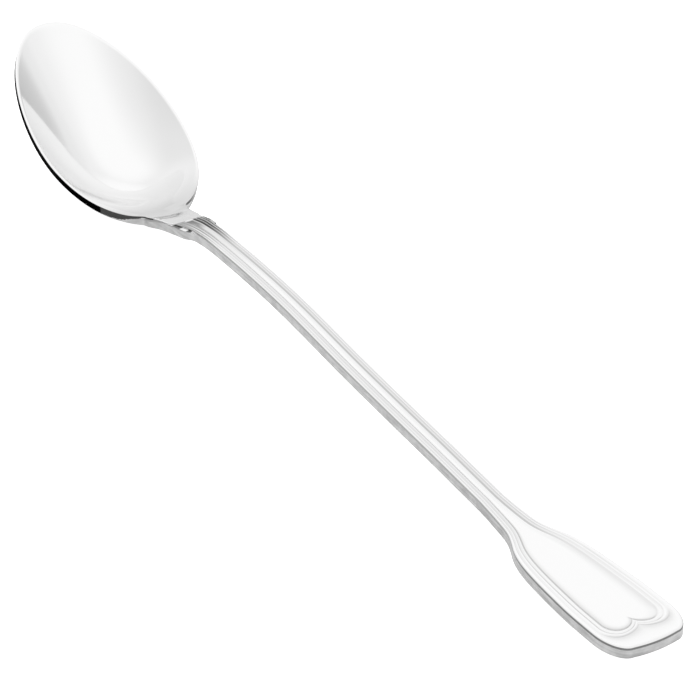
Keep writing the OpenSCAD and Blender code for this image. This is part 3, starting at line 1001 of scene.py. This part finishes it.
def floor_material(studio):
    """A pale matt sweep, white to the camera and in the steel, which still takes the spoon's shadow."""
    material, tree = new_material("Matt white sweep")
    path = add_node(tree, "ShaderNodeLightPath")
    mirrored = add_node(
        tree, "ShaderNodeMath", {"operation": "MULTIPLY"}, {0: path.outputs["Is Glossy Ray"]}
    )
    mirrored.inputs[1].default_value = FLOOR_IN_STEEL
    lift = add_node(
        tree, "ShaderNodeMath", {"operation": "MULTIPLY_ADD"},
        {0: path.outputs["Is Camera Ray"], 2: mirrored.outputs[0]},
    )
    lift.inputs[1].default_value = FLOOR_IN_CAMERA
    matt = add_node(tree, "ShaderNodeBsdfDiffuse", Color=linear(studio.floor_colour))
    glow = add_node(tree, "ShaderNodeEmission", None, {"Strength": lift.outputs[0]}, Color=(1, 1, 1, 1))
    both = add_node(tree, "ShaderNodeAddShader", None, {0: matt.outputs[0], 1: glow.outputs[0]})
    add_node(tree, "ShaderNodeOutputMaterial", None, {"Surface": both.outputs[0]})
    return material


def surround_levels(tree, along, levels):
    """The surround's light along one way, in soft steps from pairs of (share of the way, level)."""
    ramp = add_node(tree, "ShaderNodeValToRGB", None, {"Fac": along})
    stops = ramp.color_ramp
    stops.interpolation = "EASE"
    for i, (where, level) in enumerate(levels):
        stop = stops.elements[i] if i < 2 else stops.elements.new(where)
        stop.position = where
        stop.color = (level, level, level, 1)
    return ramp.outputs["Color"]


def light_world(scene, studio):
    """Pure white to the camera, and to the steel a surround that dims to the horizon and to both sides."""
    world = bpy.data.worlds.new("Studio surround")
    scene.world = world
    world.use_nodes = True
    tree = world.node_tree
    tree.nodes.clear()
    path = add_node(tree, "ShaderNodeLightPath")
    toward = add_node(tree, "ShaderNodeTexCoord").outputs["Generated"]
    direction = add_node(tree, "ShaderNodeSeparateXYZ", None, {"Vector": toward})
    upward = surround_levels(tree, direction.outputs["Z"], ((0, studio.surround_low),) + UPWARD_LEVELS)
    boxes = []
    for aim, full, gone in SEEN_BOXES:
        toward_box = add_node(tree, "ShaderNodeVectorMath", {"operation": "DOT_PRODUCT"}, {0: toward})
        toward_box.inputs[1].default_value = aim
        boxes.append(add_node(
            tree, "ShaderNodeMapRange", {"interpolation_type": "SMOOTHSTEP"},
            {"Value": toward_box.outputs["Value"]}, From_Min=gone, From_Max=full,
            To_Min=studio.surround_between * studio.surround_high, To_Max=studio.surround_high,
        ).outputs["Result"])
    brighter = add_node(tree, "ShaderNodeMath", {"operation": "MAXIMUM"}, {0: boxes[0], 1: boxes[1]})
    # From minus one to one across the spoon, turned to a share
    share = add_node(tree, "ShaderNodeMath", {"operation": "MULTIPLY_ADD"}, {0: direction.outputs["Y"]})
    share.inputs[1].default_value = 0.5
    share.inputs[2].default_value = 0.5
    sideways = surround_levels(tree, share.outputs[0], ACROSS_LEVELS + ((1, studio.surround_side),))
    strength = add_node(
        tree, "ShaderNodeMath", {"operation": "MULTIPLY"}, {0: brighter.outputs[0], 1: sideways}
    )
    soft = add_node(
        tree, "ShaderNodeBackground", None, {"Color": upward, "Strength": strength.outputs[0]}
    )
    white = add_node(tree, "ShaderNodeBackground", Color=(1, 1, 1, 1), Strength=1.0)
    both = add_node(
        tree, "ShaderNodeMixShader", None,
        {0: path.outputs["Is Camera Ray"], 1: soft.outputs[0], 2: white.outputs[0]},
    )
    add_node(tree, "ShaderNodeOutputWorld", None, {"Surface": both.outputs[0]})


def add_lamp(scene, name, place, size, power):
    """A soft box of the given width and height in metres that faces the spoon and casts its shadow."""
    lamp = bpy.data.lights.new(name, "AREA")
    lamp.shape = "RECTANGLE"
    lamp.size = size[0]
    lamp.size_y = size[1]
    lamp.energy = power
    holder = bpy.data.objects.new(name, lamp)
    holder.location = place
    holder.rotation_euler = (-Vector(place)).to_track_quat("-Z", "Y").to_euler()
    holder.visible_glossy = False
    scene.collection.objects.link(holder)


def add_sheet(scene, name, material, left, right, near, far, up):
    """A flat sheet of the stage, from its four sides and its height in metres."""
    mesh = bpy.data.meshes.new(name)
    corners = [(left, near, up), (right, near, up), (right, far, up), (left, far, up)]
    mesh.from_pydata(corners, [], [(0, 1, 2, 3)])
    mesh.materials.append(material)
    sheet = bpy.data.objects.new(name, mesh)
    scene.collection.objects.link(sheet)
    return sheet


def add_flag(scene, name, material, sides):
    """A black card, as is set beside polished metal to draw its edges; only the steel sees it."""
    flag = add_sheet(scene, name, material, *[side * MM for side in sides], FLAG_HEIGHT * MM)
    flag.visible_camera = False
    flag.visible_diffuse = False
    flag.visible_shadow = False


def add_camera(scene, studio):
    """The camera, turned round the spoon and raised over the floor, with a slight roll."""
    camera = bpy.data.cameras.new("camera")
    camera.lens = studio.lens
    camera.sensor_width = SENSOR_WIDTH
    turn = studio.azimuth
    tilt = studio.elevation
    right = Vector((math.cos(turn), math.sin(turn), 0))
    away = Vector((-math.sin(turn), math.cos(turn), 0))
    up = away * math.sin(tilt) + Vector((0, 0, math.cos(tilt)))
    ahead = away * math.cos(tilt) - Vector((0, 0, math.sin(tilt)))
    target = (Vector(AIM) + right * SHIFT_RIGHT + up * SHIFT_UP) * MM
    rolled = Matrix.Rotation(studio.roll, 4, "Z")
    place = Matrix.Translation(target - ahead * studio.distance)
    holder = bpy.data.objects.new("camera", camera)
    holder.matrix_world = place @ Matrix((right, up, -ahead)).transposed().to_4x4() @ rolled
    scene.collection.objects.link(holder)
    scene.camera = holder


class SPOON_OT_add_stage(bpy.types.Operator):
    """Add the pale floor, the soft studio light and the camera"""

    bl_idname = "spoon.add_stage"
    bl_label = "Add Stage"

    def execute(self, context):
        scene = context.scene
        studio = scene.studio_settings
        reach = FLOOR_REACH
        floor = add_sheet(scene, "floor", floor_material(studio), -reach, reach, -reach, reach, 0)
        light_world(scene, studio)
        add_lamp(scene, "back softbox", *BACK_BOX)
        add_lamp(scene, "top softbox", *TOP_BOX)
        black, tree = new_material("Black card")
        matt = add_node(tree, "ShaderNodeBsdfDiffuse", Color=linear(FLAG_COLOUR))
        add_node(tree, "ShaderNodeOutputMaterial", None, {"Surface": matt.outputs[0]})
        add_flag(scene, "front_flag", black, FRONT_FLAG)
        add_flag(scene, "tip_flag", black, TIP_FLAG)
        add_camera(scene, studio)
        scene.view_settings.view_transform = "Standard"
        return {"FINISHED"}


class SPOON_PT_panel(bpy.types.Panel):
    """Sidebar panel with the spoon's sizes, finishes and stage"""

    bl_label = "Iced Tea Spoon"
    bl_idname = "SPOON_PT_panel"
    bl_space_type = "VIEW_3D"
    bl_region_type = "UI"
    bl_category = "Spoon"

    def draw(self, context):
        layout = self.layout
        for group in (context.scene.spoon_sizes, context.scene.steel_look, context.scene.studio_settings):
            column = layout.column()
            for name in group.bl_rna.properties.keys():
                if name not in ("rna_type", "name"):
                    column.prop(group, name)
        layout.operator(SPOON_OT_add_spoon.bl_idname)
        layout.operator(SPOON_OT_add_stage.bl_idname)


CLASSES = (SpoonSizes, SteelLook, StudioSettings, SPOON_OT_add_spoon, SPOON_OT_add_stage, SPOON_PT_panel)


def register():
    for kind in CLASSES:
        bpy.utils.register_class(kind)
    bpy.types.Scene.spoon_sizes = bpy.props.PointerProperty(type=SpoonSizes)
    bpy.types.Scene.steel_look = bpy.props.PointerProperty(type=SteelLook)
    bpy.types.Scene.studio_settings = bpy.props.PointerProperty(type=StudioSettings)


def unregister():
    del bpy.types.Scene.studio_settings
    del bpy.types.Scene.steel_look
    del bpy.types.Scene.spoon_sizes
    for kind in reversed(CLASSES):
        bpy.utils.unregister_class(kind)


def main():
    register()
    bpy.ops.spoon.add_spoon()
    bpy.ops.spoon.add_stage()


if __name__ == "__main__":
    main()
